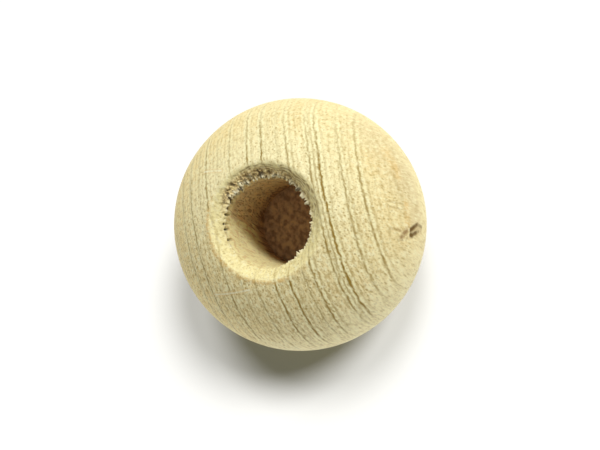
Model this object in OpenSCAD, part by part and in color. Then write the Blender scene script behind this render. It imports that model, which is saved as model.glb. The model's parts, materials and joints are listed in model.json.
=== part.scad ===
// Turned wooden ball with a blind, flat-bottomed hole drilled to its centre.
// The origin is the ball's centre, and the hole runs along +Z, out of the top.
// The end grain of the wood faces up, so the fibres run along the hole.

/* [Ball] */
// Diameter of the ball
ball_d = 32; // [26:0.5:60]

/* [Hole] */
// Diameter of the drilled hole
bore_d = 10; // [4:0.5:14]
// Depth of the hole's flat floor below the top of the ball
bore_depth = 16; // [8:0.5:20]

/* [Countersink] */
// Width of the bevel around the hole, seen from above
bevel_w = 1.5; // [0.8:0.1:3]
// Full angle of the countersink that cut the bevel
bevel_angle = 90; // [60:1:120]

/* [Softened edges] */
// Radius of the edge between the bevel and the ball
rim_round = 0.5; // [0.1:0.05:0.7]
// Radius of the edge between the bevel and the hole's wall
mouth_round = 0.3; // [0.1:0.05:0.6]

/* [Hidden] */

$fn = 180;
hair = 0.002;

ball_r = ball_d / 2;
bore_r = bore_d / 2;
floor_z = ball_r - bore_depth;

// The section is drawn at one side of the axis, as points [distance from the axis, height].
// The bevel runs from the mouth, where the hole's wall ends, to the rim, on the ball.
rim = [bore_r + bevel_w, sqrt(ball_r ^ 2 - (bore_r + bevel_w) ^ 2)];
mouth = [bore_r, rim.y - bevel_w / tan(bevel_angle / 2)];

// Directions in the section: up along the bevel, and square out of its wood
along_bevel = [sin(bevel_angle / 2), cos(bevel_angle / 2)];
off_bevel = [-along_bevel.y, along_bevel.x];

// The rim's arc touches the bevel and the ball, so its centre lies rim_round inside both
rim_start = mouth - rim_round * off_bevel;
rim_reach = sqrt((ball_r - rim_round) ^ 2 - rim_start * rim_start + (rim_start * along_bevel) ^ 2);
rim_centre = rim_start + (rim_reach - rim_start * along_bevel) * along_bevel;
rim_on_bevel = rim_centre + rim_round * off_bevel;
rim_on_ball = rim_centre * ball_r / (ball_r - rim_round);

// The mouth's arc touches the bevel and the wall
mouth_centre = mouth + mouth_round * [1, -tan(bevel_angle / 4)];
mouth_on_bevel = mouth_centre + mouth_round * off_bevel;
mouth_on_wall = mouth_centre - [mouth_round, 0];

// What sanding took off a sharp corner: the wedge between the arc's two outer radii, less the arc's disc.
// The disc stands a hair proud of touching, so the arc crosses both faces instead of grazing them.
module sanded_off(centre, touch_a, touch_b, radius) {
    difference() {
        polygon([centre, centre + 3 * (touch_a - centre), centre + 3 * (touch_b - centre)]);
        translate(centre) circle(r = radius + hair);
    }
}

// Drill and countersink in section, from the flat floor to above the ball
module drilled_section() {
    above = mouth + ball_r * along_bevel;
    polygon([[0, floor_z], [bore_r, floor_z], mouth, above, [0, above.y]]);
}

module ball_section() {
    difference() {
        circle(r = ball_r);
        translate([-ball_d, -ball_d]) square([ball_d, 2 * ball_d]);
        drilled_section();
        sanded_off(rim_centre, rim_on_ball, rim_on_bevel, rim_round);
        sanded_off(mouth_centre, mouth_on_bevel, mouth_on_wall, mouth_round);
    }
}

module ball() {
    color("Wheat") rotate_extrude() ball_section();
}

ball();
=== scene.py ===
# %% [markdown]
# A turned wooden ball with a hole drilled to its centre.
# The real ball is one piece of pale, close-grained wood. It was turned and sanded, then drilled into the
# end grain and countersunk, which left the rim torn on one side. This notebook loads the measured solid as
# a fixed frame, models the ball again with the relief that a drill and a lathe leave behind, grows the
# wood's rings and pores inside it, and lights it on a white table.

# %% The frame
import json
import math

import bmesh
import bpy
from mathutils import Matrix, Vector, geometry, noise


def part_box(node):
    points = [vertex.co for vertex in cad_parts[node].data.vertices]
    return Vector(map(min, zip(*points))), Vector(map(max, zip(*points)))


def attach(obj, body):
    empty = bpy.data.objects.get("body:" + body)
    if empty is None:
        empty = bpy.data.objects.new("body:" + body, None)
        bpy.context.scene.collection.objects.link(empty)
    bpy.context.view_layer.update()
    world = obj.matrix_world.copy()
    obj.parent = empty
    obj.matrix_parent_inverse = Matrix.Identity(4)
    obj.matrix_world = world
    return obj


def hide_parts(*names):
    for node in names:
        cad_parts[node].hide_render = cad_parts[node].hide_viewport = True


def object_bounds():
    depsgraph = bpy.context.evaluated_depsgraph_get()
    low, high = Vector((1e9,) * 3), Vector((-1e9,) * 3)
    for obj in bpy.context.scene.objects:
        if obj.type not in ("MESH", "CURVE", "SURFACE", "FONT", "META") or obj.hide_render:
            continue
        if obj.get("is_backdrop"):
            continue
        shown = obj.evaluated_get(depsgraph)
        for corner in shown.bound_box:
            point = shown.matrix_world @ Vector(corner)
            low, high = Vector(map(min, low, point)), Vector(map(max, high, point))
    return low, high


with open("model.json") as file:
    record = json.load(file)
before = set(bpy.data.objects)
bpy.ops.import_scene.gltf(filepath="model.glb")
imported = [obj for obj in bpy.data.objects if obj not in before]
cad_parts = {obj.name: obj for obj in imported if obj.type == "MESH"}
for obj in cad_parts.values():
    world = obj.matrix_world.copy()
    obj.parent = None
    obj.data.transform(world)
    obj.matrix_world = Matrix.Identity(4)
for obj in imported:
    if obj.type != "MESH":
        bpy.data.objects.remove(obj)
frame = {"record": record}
cad_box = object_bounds()
scene = bpy.context.scene

# %% [markdown]
# Everything is in metres, in the frame of the solid: the origin is the ball's centre and +Z points out of
# the hole. The ball's radius comes from the frame's box, and the hole's from the mount that the record
# states, so the dressed ball can't drift away from the measured one. Only the bevel's width and the two
# softened edges are named here.

# %% Sizes
MM = 0.001
ball_low, ball_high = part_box("ball")
BALL_R = -ball_low.z
BORE_R = frame["record"]["mounts"][0]["dims"]["r_mm"] * MM
FLOOR_Z = frame["record"]["mounts"][0]["pos_m"][2]
BEVEL_W = 1.5 * MM
RIM_ROUND = 0.5 * MM
MOUTH_ROUND = 0.3 * MM
RIM_R = BORE_R + BEVEL_W
RIM_Z = math.sqrt(BALL_R ** 2 - RIM_R ** 2)
MOUTH_Z = RIM_Z - BEVEL_W
print(f"ball {2 * BALL_R / MM:.1f} mm, hole {2 * BORE_R / MM:.1f} mm, rim at z {RIM_Z / MM:.2f} mm")

# %% [markdown]
# The camera comes before the looks, because every later choice is compared with the photograph. The ball's
# round outline and the ellipses of the hole's rim, mouth and floor fix it: it stands about six radii away,
# and the hole's axis leans 16 degrees away from it, up and to the left in the picture. A camera looks along
# its own -Z, so its three axes are written down as the directions right, up and back, and become the
# columns of its rotation.

# %% Camera
PICTURE_W = 600
OUTLINE_R_PX = 126.4
DISTANCE_IN_RADII = 5.84
SENSOR_W_MM = 36.0
TOWARDS_CAMERA = Vector((0.2740, -0.0261, 0.9613)).normalized()
PICTURE_UP = Vector((0.0072, 0.9997, 0.0251))
AIM = Vector((-0.05, -0.06, 0.0)) * MM
NEAREST_SEEN = 1 * MM
FARTHEST_SEEN = 20.0


def add_camera():
    """The photograph's camera, from how large the ball is in the picture and how far away it was."""
    focal_px = OUTLINE_R_PX * math.sqrt(DISTANCE_IN_RADII ** 2 - 1)
    data = bpy.data.cameras.new("camera")
    data.sensor_width = SENSOR_W_MM
    data.lens = SENSOR_W_MM * focal_px / PICTURE_W
    data.clip_start = NEAREST_SEEN
    data.clip_end = FARTHEST_SEEN
    camera = bpy.data.objects.new("camera", data)
    right = PICTURE_UP.cross(TOWARDS_CAMERA).normalized()
    up = TOWARDS_CAMERA.cross(right)
    camera.matrix_world = Matrix((right, up, TOWARDS_CAMERA)).transposed().to_4x4()
    camera.location = AIM + DISTANCE_IN_RADII * BALL_R * TOWARDS_CAMERA
    scene.collection.objects.link(camera)
    scene.camera = camera
    print(f"lens {data.lens:.1f} mm at {camera.location.length / MM:.1f} mm from the ball's centre")


add_camera()

# %% [markdown]
# The wood has a direction of its own, which everything later follows: the torn fibres, the streaks in the
# hole, the pores and the growth rings. The fibres lean 15 degrees off the hole, towards the upper left of
# the picture, and the rings lie almost flat across them, because the tree's centre was about 100 mm away.
# Three unit directions say all of this: along the fibres, out across the rings, and along a ring.

# %% Directions in the wood
ALONG_FIBRES = Vector((-0.14, 0.22, 0.97)).normalized()
roughly_across = Vector((0.96, 0.26, 0.08))
ACROSS_RINGS = (roughly_across - roughly_across.dot(ALONG_FIBRES) * ALONG_FIBRES).normalized()
ALONG_RINGS = ALONG_FIBRES.cross(ACROSS_RINGS)
PITH_AWAY = 100 * MM
print("fibres lean", round(math.degrees(ALONG_FIBRES.angle((0, 0, 1)))), "degrees off the hole")

# %% [markdown]
# The ball is turned here as on a lathe: half of its section is drawn as a wire, and spun about the hole's
# axis. A sphere with a hole cut by a boolean would be quicker, but its triangles would be worst exactly at
# the rim, where the torn fibres need an even, fine mesh. The wire is a few vertices: the floor's centre and
# edge, the mouth and the rim, with the outer arc spun from the rim down to the far pole. Vertex bevels
# soften the mouth and the rim.

# %% The section as a wire
SKIN_RINGS = 72
ARC_PARTS = 7


def draw_section(wire):
    """Half of the ball's section in the XZ plane, from the centre of the hole's floor to the pole below."""
    corners = [(0, FLOOR_Z), (BORE_R, FLOOR_Z), (BORE_R, MOUTH_Z), (RIM_R, RIM_Z)]
    floor_centre, floor_edge, mouth, rim = [wire.verts.new((x, 0, z)) for x, z in corners]
    for start, end in ((floor_centre, floor_edge), (floor_edge, mouth), (mouth, rim)):
        wire.edges.new((start, end))
    bevel_run = (rim.co - mouth.co).normalized()
    mouth_turn = bevel_run.angle(Vector((0, 0, 1)))
    rim_turn = bevel_run.angle(Vector((RIM_Z, 0, -RIM_R)))
    down_to_pole = math.pi - math.asin(RIM_R / BALL_R)
    bmesh.ops.spin(wire, geom=[rim], cent=(0, 0, 0), axis=(0, 1, 0), angle=down_to_pole, steps=SKIN_RINGS)
    for corner, radius, turn in ((rim, RIM_ROUND, rim_turn), (mouth, MOUTH_ROUND, mouth_turn)):
        bmesh.ops.bevel(wire, geom=[corner], offset=radius * math.tan(turn / 2), segments=ARC_PARTS,
                        profile=0.5, affect="VERTICES", material=-1)


wire = bmesh.new()
draw_section(wire)
print("wire of", len(wire.edges), "edges from z", round(min(v.co.z for v in wire.verts) / MM, 2), "mm")

# %% [markdown]
# Each stretch of the wire is then cut as finely as its detail needs. A picture shows about nine pixels to a
# millimetre at the rim, so the torn bevel gets an edge every 0.08 mm, which is less than one pixel. The
# wall is cut finely only near the mouth, and the skin, which is smooth, keeps its long edges.

# %% Finer where it is torn
BEVEL_STEP = 0.08 * MM
NEAR_MOUTH = 1.6 * MM
NEAR_MOUTH_STEP = 0.1 * MM
WALL_STEP = 0.6 * MM
FLOOR_STEP = 0.45 * MM
NEAR_RIM = 1.2 * MM
NEAR_RIM_STEP = 0.15 * MM
TOUCH = 0.001 * MM


def on_wall(at):
    """True for a point of the section on the hole's wall, between its floor and its mouth."""
    return abs(at.x - BORE_R) < TOUCH and at.z > FLOOR_Z


def middle_of(edge):
    """The point half way along an edge."""
    return (edge.verts[0].co + edge.verts[1].co) / 2


def cut_stretch(wire, longest, belongs):
    """Cuts the edges of the wire whose middle belongs to a stretch, until none of them is longer than that."""
    for edge in list(wire.edges):
        cuts = math.ceil(edge.calc_length() / longest) - 1
        if belongs(middle_of(edge)) and cuts > 0:
            bmesh.ops.subdivide_edges(wire, edges=[edge], cuts=cuts)


wall = max((edge for edge in wire.edges if on_wall(middle_of(edge))), key=lambda edge: edge.calc_length())
wall_top = max(wall.verts, key=lambda vertex: vertex.co.z)
bmesh.utils.edge_split(wall, wall_top, NEAR_MOUTH / wall.calc_length())
cut_stretch(wire, NEAR_MOUTH_STEP, lambda at: on_wall(at) and at.z > MOUTH_Z - NEAR_MOUTH)
cut_stretch(wire, WALL_STEP, on_wall)
cut_stretch(wire, FLOOR_STEP, lambda at: abs(at.z - FLOOR_Z) < TOUCH and at.x < BORE_R)
cut_stretch(wire, BEVEL_STEP, lambda at: BORE_R + TOUCH < at.x < RIM_R and at.z > FLOOR_Z)
cut_stretch(wire, NEAR_RIM_STEP, lambda at: RIM_R < at.x < RIM_R + NEAR_RIM and at.z > FLOOR_Z)
print("wire cut to", len(wire.edges), "edges")

# %% [markdown]
# One full spin closes the ball. The spin leaves a seam and two poles where vertices lie on each other, so
# doubles are merged first, and only then are the normals recalculated, so that they all point out of the
# wood.

# %% Spin it
TURNS = 512
bmesh.ops.spin(wire, geom=wire.verts[:] + wire.edges[:], cent=(0, 0, 0), axis=(0, 0, 1), angle=2 * math.pi,
               steps=TURNS, use_merge=True)
ball = wire
bmesh.ops.remove_doubles(ball, verts=ball.verts, dist=TOUCH)
bmesh.ops.recalc_face_normals(ball, faces=ball.faces)
open_edges = [edge for edge in ball.edges if not edge.is_manifold]
print(f"ball of {len(ball.faces)} faces, {len(open_edges)} open edges,",
      f"{ball.calc_volume() / MM ** 3:.0f} cubic mm")

# %% [markdown]
# A small knot shows on the side that faces +X: two dark strokes that open like a fishbone, with brown stain
# around them. The skin's edges are too long to draw it, so the faces around it are cut finer, and the new
# vertices are pushed out to the ball's surface again. A place on the skin is named as a maker would measure
# it, with a flexible rule: so far along the meridian, away from the hole, and so far across.

# %% Finer at the knot
KNOT_AZIMUTH = math.radians(-3.45)
KNOT_FROM_HOLE = math.radians(73.55)
KNOT_ALONG = 4.6 * MM
KNOT_ACROSS = 1.9 * MM
KNOT_REACH = 1.1 * KNOT_ALONG
KNOT_CUTS = 4

knot_centre = BALL_R * Vector((math.sin(KNOT_FROM_HOLE) * math.cos(KNOT_AZIMUTH),
                               math.sin(KNOT_FROM_HOLE) * math.sin(KNOT_AZIMUTH), math.cos(KNOT_FROM_HOLE)))
knot_across = Vector((-math.sin(KNOT_AZIMUTH), math.cos(KNOT_AZIMUTH), 0))
knot_along = knot_across.cross(knot_centre.normalized())


def rule_at_knot(at):
    """How far a point lies from the knot's centre, along the meridian and across it."""
    return at.dot(knot_along) - knot_centre.dot(knot_along), at.dot(knot_across) - knot_centre.dot(knot_across)


def near_knot(at):
    """True for a point of the skin around the knot."""
    along, across = rule_at_knot(at)
    return (at - knot_centre).length < KNOT_REACH and abs(along) < KNOT_ALONG and abs(across) < KNOT_ACROSS


knot_edges = [edge for edge in ball.edges if near_knot(edge.verts[0].co) and near_knot(edge.verts[1].co)]
bmesh.ops.subdivide_edges(ball, edges=knot_edges, cuts=KNOT_CUTS, use_grid_fill=True)
for vertex in ball.verts:
    if near_knot(vertex.co):
        vertex.co = BALL_R * vertex.co.normalized()
triangle_count = sum(len(face.verts) - 2 for face in ball.faces)
print(len(knot_edges), "edges cut around the knot,", triangle_count, "triangles")

# %% [markdown]
# The drill and the countersink cut across the ends of the fibres, and where they ran against the slope of
# the grain they tore bits out instead of cutting them. Noise that is squeezed across the fibres and
# stretched along them gives such splinters. Blender's own noise functions are used in Python, because a
# displacement has to follow the wood's directions, not the piece's, and has to be the same on every run.

# %% Helpers for relief
LAYER_SHIFT = Vector((17.3, 5.1, 9.7))


def soft_step(start, end, value):
    """Goes smoothly from 0 at start to 1 at end, and also works backwards."""
    share = min(1.0, max(0.0, (value - start) / (end - start)))
    return share * share * (3 - 2 * share)


def fibre_noise(at, width, length, layer):
    """Smooth noise around 0, in grains so wide across the fibres and so long along them."""
    across = Vector((at.dot(ACROSS_RINGS), at.dot(ALONG_RINGS), 0)) / width
    return noise.noise(across + Vector((0, 0, at.dot(ALONG_FIBRES) / length)) + layer * LAYER_SHIFT)


def at_azimuth(table, azimuth):
    """Reads a table of (azimuth in degrees, value) at an azimuth, smoothly from one row to the next."""
    for (start, before), (end, after) in zip(table, table[1:]):
        if azimuth <= end:
            return before + (after - before) * soft_step(start, end, azimuth)
    return table[-1][1]


def near_circle(distance, reach):
    """1 at a circle around the hole, and fading smoothly on both sides of it."""
    return math.exp(-(distance / reach) ** 2)


print("noise at the mouth:", round(fibre_noise(Vector((BORE_R, 0, MOUTH_Z)), 0.3 * MM, 1.2 * MM, 1), 3))

# %% [markdown]
# The tearing is worst on the upper left of the picture, where whole tufts still stand, is small teeth on
# the right, and is missing at the bottom, where the countersink left the bevel clean. A table by azimuth
# says how badly each side is torn, and others where the lip has teeth, where both edges are worn round, and
# where the countersink chattered. A few single pits and tufts that catch the eye are listed one by one, by
# azimuth and distance from the hole's axis. A grain is the width, the length and the layer of a noise along
# the fibres.

# %% Where the rim is torn
TORN = ((-180, 0.2), (-150, 0.22), (-120, 0.05), (-75, 0.05), (-50, 0.15), (0, 0.18), (40, 0.4), (70, 0.65),
        (100, 0.9), (145, 0.85), (165, 0.4), (180, 0.2))
TEETH = ((-180, 0.4), (-150, 0.2), (-120, 0.0), (-75, 0.1), (-50, 0.8), (0, 0.9), (50, 1.0), (80, 0.6),
         (110, 0.9), (160, 0.8), (180, 0.4))
PITS = ((146, 4.9), (149.2, 5.24), (153.8, 4.95), (170.9, 5.0), (-177.3, 5.12), (-170.7, 5.02), (-157, 5.0))
TUFTS = ((147, 5.25), (140, 5.1), (131, 5.0), (127, 5.35), (120, 5.1), (111, 5.45), (97, 5.1), (82, 5.2),
         (75, 5.3), (58, 5.1), (46, 5.05), (24, 5.0))
WORN = ((-180, 0.5), (-165, 1.0), (-95, 1.0), (-60, 0.35), (-30, 0.0), (150, 0.0), (180, 0.5))
CHATTERED = ((-180, 0), (-5, 0), (30, 0.8), (60, 1), (105, 0.8), (135, 0), (180, 0))
PIT_DEPTH = 0.34 * MM
PIT_R = 0.11 * MM
TUFT_HEIGHT = 0.45 * MM
TUFT_R = 0.2 * MM
TUFT_GRAIN = (0.12 * MM, 0.8 * MM, 3)
TOOTH = 0.62 * MM
TOOTH_GRAIN = (MM, MM, 10)
LIP_GRAIN = (0.24 * MM, MM, 5)
LIP_REACH = 0.25 * MM
CHIP = 0.36 * MM
CHIP_GRAIN = (0.4 * MM, 0.6 * MM, 1)
SPLINTER = 0.24 * MM
SPLINTER_GRAIN = (0.2 * MM, 0.35 * MM, 2)
WALL_STREAK = 0.06 * MM
WALL_STREAK_GRAIN = (0.4 * MM, 7 * MM, 4)
CHATTER = 0.07 * MM
CHATTER_STEP = 0.42 * MM
CHATTER_GRAIN = (0.5 * MM, MM, 9)
CHATTER_WANDER_GRAIN = (1.2 * MM, 1.2 * MM, 8)
MOUTH_WEAR = 0.2 * MM
MOUTH_WEAR_REACH = 0.9 * MM
RIM_WEAR = 0.1 * MM
RIM_WEAR_REACH = 0.6 * MM
BEVEL_LENGTH = math.hypot(BEVEL_W, RIM_Z - MOUTH_Z)


def up_from_mouth(radius, z):
    """How far a point lies from the mouth's circle, positive up the bevel and negative down the wall."""
    if radius > BORE_R + TOUCH:
        return math.hypot(radius - BORE_R, z - MOUTH_Z)
    return z - MOUTH_Z


def spots(at, places, spot_radius):
    """From 0 to 1, how near a point is to the nearest of some places around the mouth."""
    best = 0.0
    azimuth = math.atan2(at.y, at.x)
    for degrees, radius_mm in places:
        turn = math.remainder(azimuth - math.radians(degrees), 2 * math.pi)
        sideways = turn * radius_mm * MM
        outwards = math.hypot(at.x, at.y) - radius_mm * MM
        best = max(best, 1 - soft_step(0, 2 * spot_radius, math.hypot(sideways, outwards)))
    return best


print("bevel is", round(BEVEL_LENGTH / MM, 2), "mm long, with", len(PITS), "pits and", len(TUFTS), "tufts")

# %% [markdown]
# Every vertex in the hole moves along its normal, and those at the mouth also lean towards the hole's axis
# as teeth. Where a vertex is torn, pitted or tufted is kept in attributes of the mesh, because the finish
# needs to know it too: torn ends of fibres look browner, a pit, a chip and the notch between two teeth are
# painted dark as painted shade, and a tuft and a tooth are pale, with a painted highlight.

# %% Tear the rim
MARK_NAMES = ("torn", "pit", "tuft", "chatter", "knot", "stain")
MARKS = {name: ball.verts.layers.float.new(name) for name in MARK_NAMES}
BEYOND_RIM = 2 * MM
for face in ball.faces:
    face.smooth = True
for edge in ball.edges:
    middle = middle_of(edge)
    edge.smooth = abs(middle.z - FLOOR_Z) > TOUCH or abs(math.hypot(middle.x, middle.y) - BORE_R) > 10 * TOUCH


def worn_down(up, azimuth):
    """How far the mouth and the rim are worn down, so far up from the mouth."""
    at_mouth = MOUTH_WEAR * near_circle(up, MOUTH_WEAR_REACH)
    at_rim = RIM_WEAR * near_circle(up - BEVEL_LENGTH, RIM_WEAR_REACH)
    return (at_mouth + at_rim) * at_azimuth(WORN, azimuth)


def chattered(at, up, azimuth):
    """How deep a point lies in the waves that a chattering countersink left, from 0 to about 1."""
    wave = up / CHATTER_STEP + 1.5 * fibre_noise(at, *CHATTER_WANDER_GRAIN)
    starts = soft_step(0, 0.3 * MM, up)
    ends = soft_step(BEVEL_LENGTH, 0.8 * BEVEL_LENGTH, up)
    uneven = 0.6 + 1.4 * fibre_noise(at, *CHATTER_GRAIN)
    return at_azimuth(CHATTERED, azimuth) * starts * ends * (0.5 + 0.5 * math.sin(2 * math.pi * wave)) * uneven


def tear_rim(vertex):
    """Moves one vertex of the hole, and marks how torn, pitted and tufted it is."""
    at = vertex.co
    radius = math.hypot(at.x, at.y)
    azimuth = math.degrees(math.atan2(at.y, at.x))
    up = up_from_mouth(radius, at.z)
    share = at_azimuth(TORN, azimuth)
    reach = (0.3 + 0.7 * share) * BEVEL_LENGTH
    torn = share * soft_step(-1.1 * MM, -0.1 * MM, up) * soft_step(reach, 0.45 * reach, up)
    chip = max(0.0, fibre_noise(at, *CHIP_GRAIN))
    splinter = fibre_noise(at, *SPLINTER_GRAIN)
    near_mouth = soft_step(-1.5 * MM, -0.4 * MM, up) * soft_step(0.8 * BEVEL_LENGTH, 0.2 * MM, up)
    pit = near_mouth * spots(at, PITS, PIT_R)
    tuft = near_mouth * spots(at, TUFTS, TUFT_R) * (0.55 + fibre_noise(at, *TUFT_GRAIN))
    streak = soft_step(0, MM, at.z) * fibre_noise(at, *WALL_STREAK_GRAIN)
    chatter = chattered(at, up, azimuth)
    move = torn * (SPLINTER * splinter - CHIP * chip) - PIT_DEPTH * pit + TUFT_HEIGHT * tuft
    move = move + WALL_STREAK * streak - worn_down(up, azimuth) - CHATTER * chatter
    at_lip = near_circle(up, LIP_REACH) * at_azimuth(TEETH, azimuth)
    lip = Vector((at.x, at.y, MOUTH_Z))
    ragged_lip = fibre_noise(lip, *LIP_GRAIN)
    tooth = TOOTH * at_lip * max(0.0, 0.1 + ragged_lip) * (0.7 + 1.6 * fibre_noise(lip, *TOOTH_GRAIN))
    inwards = Vector((-at.x, -at.y, 0)) / radius
    vertex.co = at + move * vertex.normal + tooth * inwards
    vertex[MARKS["torn"]] = torn
    # Notches between the teeth are marked for painted shade.
    notch_shade = at_lip * soft_step(-0.08, -0.3, ragged_lip)
    vertex[MARKS["pit"]] = min(1.0, pit + 1.6 * torn * chip + 1.2 * notch_shade)
    vertex[MARKS["tuft"]] = min(1.0, 1.4 * max(0.0, tuft) + at_lip * soft_step(-0.2, 0.1, ragged_lip))
    vertex[MARKS["chatter"]] = min(1.0, max(0.0, 1.6 * chatter))


for vertex in ball.verts:
    from_axis = math.hypot(vertex.co.x, vertex.co.y)
    if vertex.co.z > FLOOR_Z + TOUCH and from_axis < RIM_R + BEYOND_RIM:
        tear_rim(vertex)
print("most torn:", round(max(vertex[MARKS["torn"]] for vertex in ball.verts), 2))

# %% [markdown]
# The skin and the hole's floor get a little relief too. Sanding leaves a ball very slightly wavy, which
# shows in its sheen, and only ever takes wood away, so the skin moves inwards. The drill's flat end leaves
# the floor rough. No vertex may stand above the solid's own top.

# %% Sand the skin and rough the floor
SKIN_WAVE = 0.012 * MM
SKIN_WAVE_LENGTH = 3.5 * MM
SKIN_RIPPLE = 0.004 * MM
SKIN_RIPPLE_GRAIN = (0.7 * MM, 3 * MM, 6)
FLOOR_ROUGH = 0.05 * MM
FLOOR_GRAIN = (0.5 * MM, MM, 7)
FLOOR_EDGE = 0.6 * MM


def sand(at):
    """How far sanding took the skin down at a point."""
    wave = 0.5 + noise.noise(at / SKIN_WAVE_LENGTH)
    ripple = 0.5 + fibre_noise(at, *SKIN_RIPPLE_GRAIN)
    return max(0.0, SKIN_WAVE * wave) + max(0.0, SKIN_RIPPLE * ripple)


for vertex in ball.verts:
    at = vertex.co
    if abs(at.z - FLOOR_Z) < TOUCH:
        off_edge = soft_step(BORE_R, BORE_R - FLOOR_EDGE, math.hypot(at.x, at.y))
        vertex.co = at + FLOOR_ROUGH * off_edge * fibre_noise(at, *FLOOR_GRAIN) * Vector((0, 0, 1))
    elif at.length > BALL_R - RIM_WEAR and math.hypot(at.x, at.y) > RIM_R or at.z < FLOOR_Z:
        vertex.co = at - sand(at) * at.normalized()
    vertex.co.z = min(vertex.co.z, ball_high.z)
print("skin radius from", round(min(v.co.length for v in ball.verts if v.co.z < -MM) / MM, 3), "mm")

# %% [markdown]
# The knot is drawn with the flexible rule: strokes are lists of points in millimetres along and across,
# with a width and a darkness. A vertex near a stroke sinks a little, since a knot's dark wood shrinks more
# than the wood around it.

# %% Draw the knot
KNOT_STROKES = (
    (((-1.3, 0.0), (-0.98, 0.14), (-0.45, 0.38)), 0.32, 1.0),
    (((-0.45, 0.38), (0.37, 0.68)), 0.27, 0.9),
    (((0.37, 0.68), (1.05, 0.60), (2.0, 0.44)), 0.2, 0.6),
    (((-1.2, -0.05), (-1.2, -0.5)), 0.24, 0.55),
    (((-1.25, -0.58), (-0.85, -0.62)), 0.34, 1.0),
    (((-0.85, -0.62), (-0.4, -0.42), (0.15, -0.29)), 0.27, 0.9),
    (((0.15, -0.29), (0.8, -0.15)), 0.2, 0.5),
)
KNOT_STAINS = (
    (((-1.0, -0.25), (1.6, 0.15)), 0.5, 0.5),
    (((-3.1, -0.85), (-2.85, -0.56), (-2.3, -0.15)), 0.42, 1.0),
    (((-2.1, -0.98), (-2.05, -0.95)), 0.2, 0.55),
    (((-4.4, 0.08), (-3.6, -0.1), (-2.6, -0.3)), 0.16, 0.45),
)
KNOT_SINK = 0.07 * MM


def nearest_stroke(at, strokes):
    """How dark the strokes are at a point of the skin."""
    dark = 0.0
    spot = Vector(rule_at_knot(at)) / MM
    for points, width, darkness in strokes:
        for start, end in zip(points, points[1:]):
            touch, share = geometry.intersect_point_line(spot, Vector(start), Vector(end))
            touch = Vector(start).lerp(Vector(end), min(1.0, max(0.0, share)))
            dark = max(dark, darkness * (1 - soft_step(0.3 * width, 1.5 * width, (spot - touch.xy).length)))
    return dark


for vertex in ball.verts:
    if near_knot(vertex.co):
        vertex[MARKS["knot"]] = nearest_stroke(vertex.co, KNOT_STROKES)
        vertex[MARKS["stain"]] = nearest_stroke(vertex.co, KNOT_STAINS)
        vertex.co -= KNOT_SINK * vertex[MARKS["knot"]] * vertex.co.normalized()
print(sum(vertex[MARKS["knot"]] > 0.5 for vertex in ball.verts), "vertices in the knot's dark strokes")

# %% [markdown]
# The finished mesh becomes one piece at the origin, unturned and unscaled. It rides on the part's one body
# and stands for the CAD ball, which stays behind for collision.

# %% The dressed ball
ball_mesh = bpy.data.meshes.new("turned_ball")
ball.normal_update()
ball.to_mesh(ball_mesh)
ball.free()
turned_ball = bpy.data.objects.new("turned_ball", ball_mesh)
scene.collection.objects.link(turned_ball)
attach(turned_ball, "root")
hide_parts("ball")
print(turned_ball.name, "has", len(ball_mesh.vertices), "vertices")

# %% [markdown]
# A wood material is mostly arithmetic: where is this point in the tree, and what grew there? Written as
# Python expressions, that arithmetic stays readable. One small class wraps a socket of a node. Its
# operators add Math nodes, also the reflected ones, so that 1 - mask works, and node() adds any other node:
# its settings are set first, then the values or links of its sockets.

# %% A socket with operators
class Strand:
    """One output socket in a material. Operators on it add Math nodes, and node() adds a node of any type."""

    def __init__(self, tree, socket=None):
        self.tree = tree
        self.socket = socket

    def node(self, kind, settings=None, inputs=None, output=0):
        """Adds a node, sets it, fills or links its inputs, and returns one of its outputs."""
        made = self.tree.nodes.new("ShaderNode" + kind)
        for name, value in (settings or {}).items():
            setattr(made, name, value)
        for name, value in (inputs or {}).items():
            if isinstance(value, Strand):
                self.tree.links.new(value.socket, made.inputs[name])
            else:
                made.inputs[name].default_value = value
        return Strand(self.tree, made.outputs[output] if made.outputs else None)

    def math(self, operation, *values):
        """A Math node on some values or sockets."""
        return self.node("Math", {"operation": operation}, dict(enumerate(values)))

    def __add__(self, other):
        return self.math("ADD", self, other)

    def __radd__(self, other):
        return self.math("ADD", other, self)

    def __sub__(self, other):
        return self.math("SUBTRACT", self, other)

    def __rsub__(self, other):
        return self.math("SUBTRACT", other, self)

    def __mul__(self, other):
        return self.math("MULTIPLY", self, other)

    def __rmul__(self, other):
        return self.math("MULTIPLY", other, self)

    def __truediv__(self, other):
        return self.math("DIVIDE", self, other)

    def __rtruediv__(self, other):
        return self.math("DIVIDE", other, self)

    def __pow__(self, other):
        return self.math("POWER", self, other)

    def __abs__(self):
        return self.math("ABSOLUTE", self)


wood = bpy.data.materials.new("sanded_wood")
wood.use_nodes = True
wood.node_tree.nodes.clear()
ball_mesh.materials.append(wood)
grain = Strand(wood.node_tree)
print("material", wood.name, "on", turned_ball.name)

# %% [markdown]
# Three helpers cover the rest: a smooth ramp between two values, the distance along a direction, and noise
# in the wood's own directions. Colours go through a Mix node, because a Math node would turn them grey. The
# Mix node keeps its colour sockets behind those for numbers, which is why they are named by their place.

# %% Helpers for the wood
MIX_A, MIX_B, MIX_RESULT = 6, 7, 2


def ramp(value, start, end):
    """0 at start and 1 at end, smooth between them, and also backwards."""
    settings = {"interpolation_type": "SMOOTHSTEP"}
    return grain.node("MapRange", settings, {"Value": value, "From Min": start, "From Max": end})


def mix(share, under, over):
    """One colour over another."""
    return grain.node("Mix", {"data_type": "RGBA"}, {0: share, MIX_A: under, MIX_B: over}, MIX_RESULT)


def colour(red, green, blue):
    """A colour as the amounts of light that the wood sends back."""
    return (red, green, blue, 1.0)


place_mm = grain.node("VectorMath", {"operation": "SCALE"}, {0: grain.node("TexCoord", output="Object"),
                                                             "Scale": 1 / MM})


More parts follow.
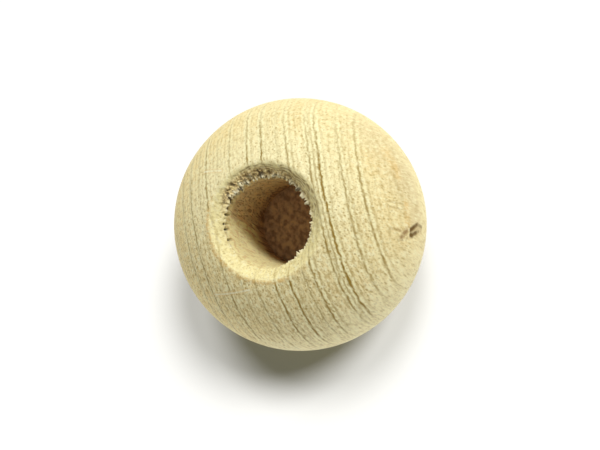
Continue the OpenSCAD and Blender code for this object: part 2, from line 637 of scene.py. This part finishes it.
def along(direction):
    """How many millimetres a point lies along a direction from the ball's centre."""
    return grain.node("VectorMath", {"operation": "DOT_PRODUCT"}, {0: place_mm, 1: direction}, "Value")


across_rings = along(ACROSS_RINGS)
along_rings = along(ALONG_RINGS)
along_fibres = along(ALONG_FIBRES)


def in_the_wood(across, tangent, fibre):
    """A point in the wood's own directions, each divided by the size in mm that a grain has that way."""
    inputs = {"X": across_rings / across, "Y": along_rings / tangent, "Z": along_fibres / fibre}
    return grain.node("CombineXYZ", {}, inputs)


def noise_in_wood(across, tangent, fibre, detail=2.0):
    """Smooth noise from 0 to 1 with grains of those sizes, in mm."""
    inputs = {"Vector": in_the_wood(across, tangent, fibre), "Scale": 1.0, "Detail": detail}
    return grain.node("TexNoise", {}, inputs)


print("helpers made", len(wood.node_tree.nodes), "nodes so far")

# %% [markdown]
# Growth rings are cylinders about the tree's centre, so a point's ring is its distance from that centre.
# Because the centre was far away, the rings pass through the ball as nearly flat sheets, and where a sheet
# meets the ball there is a thin line. The sheets aren't evenly spaced: a tree grows more in some years.
# Each line is listed by its place across the rings and its strength. A little slow noise on the distance
# lets the lines wander, as they do in a board.

# %% Growth rings
GROWTH_LINES = ((-15.1, 0.5), (-13.6, 0.4), (-12.0, 0.35), (-9.4, 0.6), (-7.6, 0.8), (-5.9, 0.3), (-4.8, 0.85),
                (-2.9, 0.35), (-1.2, 0.6), (1.05, 1.0), (1.6, 0.3), (2.75, 1.25), (3.3, 0.3), (3.75, 0.25),
                (4.45, 0.6), (5.4, 0.95), (5.95, 0.4), (7.5, 0.9), (7.95, 0.6), (8.4, 1.25), (8.95, 0.25),
                (10.35, 0.75), (10.85, 0.25), (11.95, 0.8), (12.4, 0.2), (14.8, 0.3))
LINE_WIDTH = 0.19
FLANK_WIDTH = 0.42
FLANK_INNER_WIDTH = 0.3
WARM_WIDTH = 1.0
WARM_INNER_WIDTH = 0.1
wander = 0.5 * (noise_in_wood(8.0, 8.0, 20.0, 0.0) - 0.5) + 0.3 * (noise_in_wood(1.2, 1.2, 4.0) - 0.5)
wander = wander + 0.22 * (noise_in_wood(0.4, 0.45, 1.5, 1.0) - 0.5)
pith_mm = PITH_AWAY / MM
ring = ((across_rings + pith_mm) ** 2 + along_rings ** 2) ** 0.5 - pith_mm + wander
late_wood = 0.0
flanks = 0.0
warmth = 0.0
for line_place, strength in GROWTH_LINES:
    from_line = abs(ring - line_place)
    late_wood = late_wood + strength * ramp(from_line, LINE_WIDTH, 0)
    flanks = flanks + strength * ramp(from_line, FLANK_WIDTH, FLANK_INNER_WIDTH)
    warmth = warmth + strength * ramp(from_line, WARM_WIDTH, WARM_INNER_WIDTH)
print("growth lines from", GROWTH_LINES[0][0], "to", GROWTH_LINES[-1][0], "mm across the rings")

# %% [markdown]
# The lines aren't equally sharp all round. They are crisp where the surface cuts straight across the
# fibres, around the hole, fade towards the top edge of the picture, and come back softer on the far side.
# Short gaps and thickenings keep them from looking ruled.

# %% Where the lines are sharp
height = along((0, 0, 1))
up_picture = along((0, 1, 0))
end_grain = ramp(height, 3, 13)
# The fading towards the top of the picture is a painted highlight, which washes the lines out there.
sharp = 0.2 + 0.8 * ramp(height, 3, 10) * ramp(up_picture, 15.5, 3) + 0.35 * ramp(height, 0, -6)
unevenness = 0.5 + 0.7 * ramp(noise_in_wood(0.3, 0.8, 1.5), 0.32, 0.6)
late_wood = late_wood * unevenness * sharp
flanks = flanks * end_grain
print(len(GROWTH_LINES), "growth lines in", len(wood.node_tree.nodes), "nodes")

# %% [markdown]
# Between the lines the wood isn't plain. It has pores, which are fine tubes along the fibres: where the
# surface cuts across them they are dots, and where it runs along them they are short dark dashes. Cells of
# a Voronoi texture that is stretched along the fibres give both at once. Rays are thin pale plates that run
# out from the tree's centre, and slow noise gives the broad blush that any board has.

# %% Pores, rays and blush
PORE_SPACING = 0.42
PORE_LENGTH = 2.6
FINE_PORE_SPACING = 0.21
FINE_PORE_LENGTH = 1.2
pore_cells = {"Vector": in_the_wood(PORE_SPACING, PORE_SPACING, PORE_LENGTH), "Scale": 1.0}
pore_here = noise_in_wood(0.9, 0.9, 3.0)
pores = ramp(grain.node("TexVoronoi", {}, pore_cells, "Distance"), 0.36, 0.1) * ramp(pore_here, 0.3, 0.52)
fine_cells = {"Vector": in_the_wood(FINE_PORE_SPACING, FINE_PORE_SPACING, FINE_PORE_LENGTH), "Scale": 1.0}
fine_pores = ramp(grain.node("TexVoronoi", {}, fine_cells, "Distance"), 0.5, 0.15)
rays = ramp(noise_in_wood(1.8, 0.15, 0.8), 0.5, 0.66)
fibres = noise_in_wood(0.17, 0.17, 1.6, 3.0)
bands = noise_in_wood(0.45, 9.0, 30.0, 2.0)
blush = noise_in_wood(7.0, 5.0, 14.0, 2.0)
print("fine grain in", len(wood.node_tree.nodes), "nodes")

# %% [markdown]
# Between two growth lines the wood has fainter lines of its own, less than a millimetre apart. They are a
# sine wave on the same distance from the tree's centre, let through only in patches. Clumps of darker and
# paler cells, which are drawn out along the fibres, break up what is left.

# %% Fine rings and clumps
FINE_RING = 0.6
fine_phase = ring * (2 * math.pi / FINE_RING) + 5.0 * noise_in_wood(1.3, 2.6, 9.0, 1.0)
fine_rings = ramp(grain.math("SINE", fine_phase), 0.0, 1.0) * ramp(noise_in_wood(0.8, 2.0, 7.0), 0.34, 0.56)
clumps = noise_in_wood(0.27, 0.5, 1.9, 2.0)
dark_clumps = ramp(clumps, 0.5, 0.3)
pale_clumps = ramp(clumps, 0.52, 0.68)
texture_share = (0.45 + 0.55 * end_grain) * (0.95 + 0.55 * ramp(up_picture, 10, -8))
print("rings and clumps in", len(wood.node_tree.nodes), "nodes")

# %% [markdown]
# The colours are put on from the broadest to the finest. First comes the plain wood: two close tones that
# slow noise and bands blend, with a little warmth beside each growth line. The ball is more golden on its
# left. Around the hole, most on its upper side, and low on its right, where light from the table falls, the
# wood is painted paler: painted light.

# %% The plain wood
PALE = colour(0.91, 0.79, 0.42)
ROSY = colour(0.89, 0.715, 0.34)
GOLDEN = colour(0.99, 0.80, 0.35)
PAINTED_LIGHT = colour(1.0, 0.90, 0.52)
LOW_RIGHT = Vector((0.5, -0.87, 0))
across_picture = along((1, 0, 0))
from_axis = (across_picture ** 2 + up_picture ** 2) ** 0.5
wood_colour = mix(ramp(blush, 0.35, 0.7) * 0.7, PALE, ROSY)
wood_colour = mix(ramp(bands, 0.45, 0.75) * 0.3, wood_colour, ROSY)
wood_colour = mix(warmth * 0.3, wood_colour, ROSY)
wood_colour = mix(ramp(across_picture, 2, -12) * 0.75, wood_colour, GOLDEN)
# Painted light: the skin around the hole, most on its upper side, is painted paler.
painted_light_side = ramp(height, 0, 12) * (0.35 + 0.65 * ramp(up_picture, -7, 3))
wood_colour = mix(ramp(from_axis, 13, 7.5) * painted_light_side * 0.95, wood_colour, PAINTED_LIGHT)
# Painted light: the low right side, where light from the table falls, is painted paler.
wood_colour = mix(ramp(along(LOW_RIGHT), 9, 14.5) * 0.85, wood_colour, PAINTED_LIGHT)
print("plain wood in", len(wood.node_tree.nodes), "nodes")

# %% [markdown]
# Some marks on the skin belong to this one ball: broad dull patches and warm spots above the knot, and
# three short dark scores beside it. Each is a straight stroke between two points in millimetres, with a
# reach and a share, and a vector sum gives how far any point is from it.

# %% Strokes on the skin
OCHRE = colour(0.80, 0.54, 0.19)
DUN = colour(0.72, 0.59, 0.31)
SCORE = colour(0.50, 0.37, 0.15)
SKIN_STROKES = (
    ((10.5, 10.3, 6.5), (13.6, 6.0, 5.8), 5.5, 0.65, DUN),
    ((14.2, 4.9, 5.5), (15.2, 1.2, 4.8), 3.5, 0.65, DUN),
    ((12.3, 8.1, 6.3), (12.9, 6.9, 6.6), 1.5, 0.4, OCHRE),
    ((13.1, 6.3, 6.7), (13.4, 5.4, 6.8), 1.2, 0.5, OCHRE),
    ((14.4, 2.0, 6.6), (14.6, -0.3, 6.45), 0.9, 0.65, OCHRE),
    ((12.8, 2.29, 9.32), (14.17, 2.05, 7.14), 0.2, 0.7, SCORE),
    ((12.82, 1.73, 9.42), (14.1, 1.47, 7.42), 0.2, 0.6, SCORE),
    ((13.0, -0.7, 9.3), (13.9, -1.0, 7.8), 0.26, 0.7, SCORE),
)


def from_stroke(start, end):
    """How many millimetres a point lies from the straight stroke between two points."""
    run = Vector(end) - Vector(start)
    from_start = grain.node("VectorMath", {"operation": "SUBTRACT"}, {0: place_mm, 1: start})
    ends = {0: from_start, 1: run / run.length_squared}
    share = grain.node("VectorMath", {"operation": "DOT_PRODUCT"}, ends, "Value")
    share = grain.math("MINIMUM", grain.math("MAXIMUM", share, 0.0), 1.0)
    nearest = grain.node("VectorMath", {"operation": "SCALE"}, {0: run, "Scale": share})
    return grain.node("VectorMath", {"operation": "DISTANCE"}, {0: from_start, 1: nearest}, "Value")


ragged = 0.6 + 0.8 * noise_in_wood(0.6, 0.6, 1.2)
for start, end, reach, share, tone in SKIN_STROKES:
    wood_colour = mix(ramp(from_stroke(start, end) * ragged, reach, 0.2 * reach) * share, wood_colour, tone)
print(len(SKIN_STROKES), "strokes on the skin")

# %% [markdown]
# Then comes what the tree grew: pale flanks beside the dark late wood of each line, pale rays, fine rings,
# clumps, fibres and pores. The bevel all round and the clean side of the wall, where the key lamp lights it,
# are painted paler than the skin: painted light. Masks from the distance to the axis and the height say where
# that is. The masks of the hole have no lower end, so they also hold on a disc of the skin straight below its
# floor.

# %% What the tree grew
LATE = colour(0.30, 0.19, 0.028)
RAY = colour(0.97, 0.91, 0.53)
SPARK = colour(0.99, 0.93, 0.58)
PORE = colour(0.42, 0.28, 0.07)
PALE_STREAK_AND_LIGHT = colour(1.0, 0.90, 0.47)
CLEAN_LIT_SIDE = Vector((-0.62, -0.78, 0))
SHADE_STARTS_LOWER = 9.5
HOLE_MM = BORE_R / MM
RIM_MM = RIM_R / MM
MOUTH_MM = MOUTH_Z / MM
wall_streaks = noise_in_wood(0.5, 0.5, 9.0)
clean_lit_side = ramp(along(CLEAN_LIT_SIDE) / from_axis + 0.7 * (wall_streaks - 0.5), 0.4, 0.88)
# Painted shade: the hole is painted darker below a height that lies lower on the lit clean side.
shade_from = height + SHADE_STARTS_LOWER * clean_lit_side
inside = ramp(from_axis, HOLE_MM + 0.3, HOLE_MM + 0.1)
in_hole_shade = inside * ramp(shade_from, MOUTH_MM + 0.1, MOUTH_MM - 2.5)
on_bevel = ramp(from_axis, HOLE_MM - 0.1, HOLE_MM + 0.2) * ramp(from_axis, RIM_MM + 0.3, RIM_MM - 0.2)
# Painted light: the bevel all round and the lit clean side of the wall.
bevel_and_wall_light = on_bevel * ramp(height, 0, 12) + inside * clean_lit_side * ramp(height, 2, 6)
on_skin = 1 - in_hole_shade
# Fewer fine dark lines where the skin is painted light.
fine_share = 0.1 + 0.2 * ramp(height, 4, 11) - 0.08 * ramp(from_axis, 13, 7.5) * painted_light_side
wood_colour = mix(flanks * 0.75, wood_colour, RAY)
wood_colour = mix(rays * 0.5, wood_colour, RAY)
# Painted light: there the wood is painted paler than the skin.
wood_colour = mix(bevel_and_wall_light * 0.95, wood_colour, PALE_STREAK_AND_LIGHT)
fine_lines = fine_rings * (0.6 + 0.4 * texture_share) * (1 - 0.6 * bevel_and_wall_light) * fine_share
wood_colour = mix(fine_lines, wood_colour, PORE)
wood_colour = mix(pale_clumps * texture_share * 0.6, wood_colour, SPARK)
wood_colour = mix(dark_clumps * texture_share * (1 - 0.5 * bevel_and_wall_light) * 0.32, wood_colour, PORE)
wood_colour = mix(late_wood * (1 - 0.6 * bevel_and_wall_light) * 0.9, wood_colour, LATE)
# Fewer dark fibres where the skin is painted light.
wood_colour = mix(ramp(fibres, 0.5, 0.72) * (0.3 - 0.12 * painted_light_side), wood_colour, PORE)
wood_colour = mix(fine_pores * texture_share * on_skin * (1 - 0.5 * bevel_and_wall_light) * 0.3, wood_colour, PORE)
wood_colour = mix(pores * texture_share * on_skin * (1 - 0.45 * bevel_and_wall_light) * 0.55, wood_colour, PORE)
print("tree's colours in", len(wood.node_tree.nodes), "nodes")

# %% [markdown]
# Inside the hole the wood is painted browner and darker with depth, darkest on the floor and in the corner
# around its edge: painted shade of the hole. On the clean side, which the key lamp lights, the painted shade
# starts lower. Along the wall there are broad and fine streaks down the fibres, and on the floor, where the
# same fibres are seen end on, there are dark spots. On the clean side a thin brown line marks where the wall
# ends, and a faint ochre ring runs just outside the rim.

# %% Painted shade and streaks in the hole
HOLE_SHADE = colour(0.62, 0.38, 0.22)
DARK_STREAK_AND_SHADE = colour(0.22, 0.11, 0.05)
STREAKED = colour(0.76, 0.50, 0.24)
SMEARED = colour(0.78, 0.54, 0.24)
MOUTH_LINE = colour(0.60, 0.43, 0.17)
off_mouth_line = abs(height - (MOUTH_MM - 0.12))
on_mouth_line = ramp(off_mouth_line, 0.22, 0.05) * ramp(noise_in_wood(0.5, 0.5, 2.0), 0.4, 0.55)
wood_colour = mix(on_mouth_line * clean_lit_side * ramp(from_axis, 5.5, 5.2) * 0.55, wood_colour, MOUTH_LINE)
drill_marks = noise_in_wood(0.7, 0.8, 6.0, 2.0)
smears = noise_in_wood(0.36, 0.36, 0.7, 2.0)
above_floor = ramp(height, 0.8, 3.0)
fine_streaks = noise_in_wood(0.2, 0.2, 5.0, 1.0)
on_wall = inside * ramp(height, MOUTH_MM + 0.1, MOUTH_MM - 0.3) * ramp(height, 0, 0.4)
wood_colour = mix(on_wall * ramp(smears, 0.47, 0.36) * 0.6, wood_colour, SMEARED)
wood_colour = mix(on_wall * ramp(smears, 0.48, 0.58) * 0.8, wood_colour, PALE_STREAK_AND_LIGHT)
# Painted shade: browner deeper in the hole, most near the floor.
wood_colour = mix(in_hole_shade * (0.9 - 0.4 * above_floor), wood_colour, HOLE_SHADE)
# Painted shade: darker on the floor and the low wall.
wood_colour = mix(in_hole_shade * (1 - above_floor) * (1 - 0.7 * clean_lit_side * on_wall) * 0.3, wood_colour, DARK_STREAK_AND_SHADE)
wood_colour = mix(in_hole_shade * ramp(drill_marks, 0.54, 0.36) * (0.65 - 0.35 * above_floor), wood_colour, DARK_STREAK_AND_SHADE)
wood_colour = mix(in_hole_shade * ramp(drill_marks, 0.5, 0.64) * 0.6, wood_colour, STREAKED)
# Painted shade in the corner around the floor's edge.
wood_colour = mix(in_hole_shade * ramp(height, 4.0, 0.5) * ramp(from_axis, 4.4, 4.95) * 0.35, wood_colour, DARK_STREAK_AND_SHADE)
wood_colour = mix(on_wall * ramp(fine_streaks, 0.48, 0.36) * (0.12 + 0.5 * in_hole_shade), wood_colour, DARK_STREAK_AND_SHADE)
wood_colour = mix(on_wall * in_hole_shade * ramp(fine_streaks, 0.54, 0.66) * 0.5, wood_colour, SMEARED)
rim_rub = ramp(abs(from_axis - RIM_MM - 0.25), 0.4, 0.1) * ramp(smears, 0.35, 0.6) * ramp(height, 8, 12)
wood_colour = mix(rim_rub * ramp(along(CLEAN_LIT_SIDE) / from_axis, 0, 0.6) * 0.65, wood_colour, OCHRE)
print("hole's colours in", len(wood.node_tree.nodes), "nodes")

# %% [markdown]
# The attributes that were kept while the rim was torn and the knot was drawn say where the torn, pitted,
# tufted, chattered and knotty places are. Torn ends of fibres look browner than cut ones, with pale broken
# fibres and dark gaps between them, the gaps being painted shade. Pits, chips and notches are painted near
# black as painted shade, and tufts and teeth are painted near white, pale fibres with a painted highlight.
# Two hair-fine pale scratches are strokes, as above, with an ochre edge. The first is in two parts, so that
# both ends of each part lie on the round skin.

# %% Torn ends, chatter and knot
SCRATCH = colour(1.0, 0.95, 0.66)
SCRATCHES = (((-6.85, -8.31, 11.83), (-4.45, -8.06, 13.08)), ((-4.45, -8.06, 13.08), (-1.93, -7.58, 13.96)),
             ((-7.92, 5.78, 12.65), (-5.28, 5.74, 13.97)))
SCRATCH_W = 0.16
SCRATCH_EDGE = 0.2
TORN_ENDS = colour(0.75, 0.48, 0.20)
TORN_PALE = colour(1.0, 0.87, 0.42)
PIT_SHADE = colour(0.06, 0.035, 0.012)
PALE_TUFT_AND_HIGHLIGHT = colour(1.0, 0.95, 0.66)
CHATTERED_WOOD = colour(0.30, 0.19, 0.07)
KNOT = colour(0.15, 0.08, 0.01)
STAIN = colour(0.38, 0.25, 0.10)


def mark(name):
    """One of the attributes kept on the mesh."""
    return grain.node("Attribute", {"attribute_name": name}, {}, "Fac")


torn_bits = noise_in_wood(0.3, 0.3, 0.5, 1.5)
for start, end in SCRATCHES:
    from_scratch = from_stroke(start, end)
    in_scratch = ramp(from_scratch, SCRATCH_W, 0.06) * ramp(ragged, 0.7, 1.1)
    wood_colour = mix(in_scratch * 0.75, wood_colour, SCRATCH)
    wood_colour = mix(ramp(abs(from_scratch - SCRATCH_EDGE), 0.12, 0.03) * ragged * 0.3, wood_colour, OCHRE)
well_torn = mark("torn") * ramp(mark("torn"), 0.1, 0.4)
wood_colour = mix(well_torn * 0.6, wood_colour, TORN_ENDS)
wood_colour = mix(mark("torn") * ramp(torn_bits, 0.52, 0.62) * 0.9, wood_colour, TORN_PALE)
# Painted shade: dark gaps between the torn fibres.
wood_colour = mix(well_torn * ramp(torn_bits, 0.45, 0.36) * 0.85, wood_colour, PIT_SHADE)
wood_colour = mix(mark("chatter") * 0.75, wood_colour, CHATTERED_WOOD)
# Pale broken fibres, painted brighter still as a painted highlight on the tufts and teeth.
wood_colour = mix(mark("tuft") * 0.85, wood_colour, PALE_TUFT_AND_HIGHLIGHT)
# Painted shade: pits, chips and notches are painted near black.
wood_colour = mix(mark("pit") * 0.9, wood_colour, PIT_SHADE)
wood_colour = mix(mark("stain") * (0.6 + 0.4 * ramp(torn_bits, 0.6, 0.4)), wood_colour, STAIN)
wood_colour = mix(mark("knot"), wood_colour, KNOT)
print("all colours in", len(wood.node_tree.nodes), "nodes")

# %% [markdown]
# Bare wood is matte. Its late wood is denser and takes a slightly better polish, and pores are dull. A bump
# of a few hundredths of a millimetre lets the pores and the raised fibres catch the light. Real relief,
# such as the torn rim, is already in the mesh.

# %% Surface of the wood
MATTE = 0.62
SHEEN = 0.15
GRAIN_DEPTH = 0.06 * MM
GRAIN_STRENGTH = 0.7
relief = 0.5 + 0.35 * fibres + 0.3 * clumps - (0.5 * pores + 0.25 * fine_pores) * on_skin + 0.2 * late_wood
bumped = grain.node("Bump", {}, {"Strength": GRAIN_STRENGTH, "Distance": GRAIN_DEPTH, "Height": relief})
roughness = MATTE - 0.08 * late_wood + 0.12 * pores + 0.1 * mark("torn")
surface = grain.node("BsdfPrincipled", {}, {"Base Color": wood_colour, "Roughness": roughness,
                                            "Normal": bumped, "Specular IOR Level": SHEEN})
grain.node("OutputMaterial", {}, {"Surface": surface})
print("wood material has", len(wood.node_tree.nodes), "nodes")

# %% [markdown]
# The ball lies on a plain white table, which is a stage and not part of the object. In the picture the
# table is pure white with only a small shadow, and gives much light back to the underside of the ball. So
# two materials are mixed: what the camera or a glossy surface sees is matte paint, which keeps the shadow,
# and what lights the ball is an even white. The paint is darker than white and a little warm, because the
# table's own lamps are strong and a little blue. The world is white in the same way: it looks fully white,
# while its light on things is only the fill.

# %% White table and world
TABLE_SIZE = 1.5
TABLE_PAINT = colour(0.31, 0.308, 0.24)
TABLE_GLOW = 1.14
AMBIENT = 0.41


def seen_directly(strand):
    """1 for rays that show a thing itself, straight or in a mirror or through glass, and 0 for its light."""
    kinds = ("Is Camera Ray", "Is Glossy Ray", "Is Transmission Ray")
    straight, mirrored, through_glass = [strand.node("LightPath", {}, {}, kind) for kind in kinds]
    return strand.math("MAXIMUM", strand.math("MAXIMUM", straight, mirrored), through_glass)


table_white = bpy.data.materials.new("white_table")
table_white.use_nodes = True
table_white.node_tree.nodes.clear()
paint = Strand(table_white.node_tree)
even_white = paint.node("Emission", {}, {"Color": colour(1, 1, 1), "Strength": TABLE_GLOW})
matte_paint = paint.node("BsdfDiffuse", {}, {"Color": TABLE_PAINT})
seen_or_felt = paint.node("MixShader", {}, {0: seen_directly(paint), 1: even_white, 2: matte_paint})
paint.node("OutputMaterial", {}, {"Surface": seen_or_felt})
table_white.cycles.emission_sampling = "NONE"

table_form = bmesh.new()
bmesh.ops.create_grid(table_form, x_segments=1, y_segments=1, size=TABLE_SIZE)
bmesh.ops.translate(table_form, verts=table_form.verts, vec=(0, 0, -BALL_R))
table_mesh = bpy.data.meshes.new("table")
table_form.to_mesh(table_mesh)
table_form.free()
table_mesh.materials.append(table_white)
table = bpy.data.objects.new("table", table_mesh)
scene.collection.objects.link(table)
table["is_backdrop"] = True

world = bpy.data.worlds.new("white_world")
world.use_nodes = True
world.node_tree.nodes.clear()
scene.world = world
air = Strand(world.node_tree)
level = AMBIENT + (1 - AMBIENT) * seen_directly(air)
sky = air.node("Background", {}, {"Color": colour(1, 1, 1), "Strength": level})
air.node("OutputWorld", {}, {"Surface": sky})
print("table at z", round(-BALL_R / MM, 1), "mm, ambient light", AMBIENT)

# %% [markdown]
# The lamps share the work, as in a small photo studio. The key lamp stands high on the right and behind,
# and models the ball: it reaches the lower left of the hole and leaves the upper bevel in shade. Two table
# lamps stand steeper, so that the ball's shadow stays small and lies towards the bottom of the picture.
# They are a little blue, which the warm paint takes back on the open table, so only the shadow looks warm.
# Light linking lets each lamp light only its own thing. Sun lamps are used because their light doesn't fall
# off, and a strength of pi shows a surface that faces the lamp in its own colour.

# %% Lamps
KEY_FROM = (64, 49)
KEY_SHARE = 0.655
KEY_SOFTNESS = 15
TABLE_LAMPS = (("table_lamp_right", (43, 35), 2.18), ("table_lamp_back", (77, 28), 1.35))
TABLE_LAMP_SOFTNESS = 14
TABLE_LAMP_TINT = (1.0, 1.0, 1.28)


def towards(azimuth, from_up):
    """A unit direction, from its azimuth and its angle off straight up, in degrees."""
    turn, lean = math.radians(azimuth), math.radians(from_up)
    return Vector((math.sin(lean) * math.cos(turn), math.sin(lean) * math.sin(turn), math.cos(lean)))


def add_lamp(name, comes_from, share, softness, lights):
    """A sun lamp for one object: where it comes from, its share of full light, and its width in degrees."""
    data = bpy.data.lights.new(name, "SUN")
    data.energy = share * math.pi
    data.angle = math.radians(softness)
    lamp = bpy.data.objects.new(name, data)
    lamp.rotation_euler = towards(*comes_from).to_track_quat("Z", "Y").to_euler()
    lit = bpy.data.collections.new(name + "_lights")
    lit.objects.link(lights)
    lamp.light_linking.receiver_collection = lit
    scene.collection.objects.link(lamp)
    return lamp


add_lamp("key", KEY_FROM, KEY_SHARE, KEY_SOFTNESS, turned_ball)
for lamp_name, comes_from, share in TABLE_LAMPS:
    lamp = add_lamp(lamp_name, comes_from, share, TABLE_LAMP_SOFTNESS, table)
    lamp.data.color = TABLE_LAMP_TINT
scene.view_settings.view_transform = "Standard"

# %% [markdown]
# Both boxes are printed, the measured solid's and the dressed ball's, since the looks should keep the
# size of the object.

# %% Sizes of both boxes
visual_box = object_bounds()
boxes = {"cad": [list(corner) for corner in cad_box], "visual": [list(corner) for corner in visual_box]}
for name, corners in boxes.items():
    print(name, "box in mm:", *([round(value / MM, 3) for value in corner] for corner in corners))
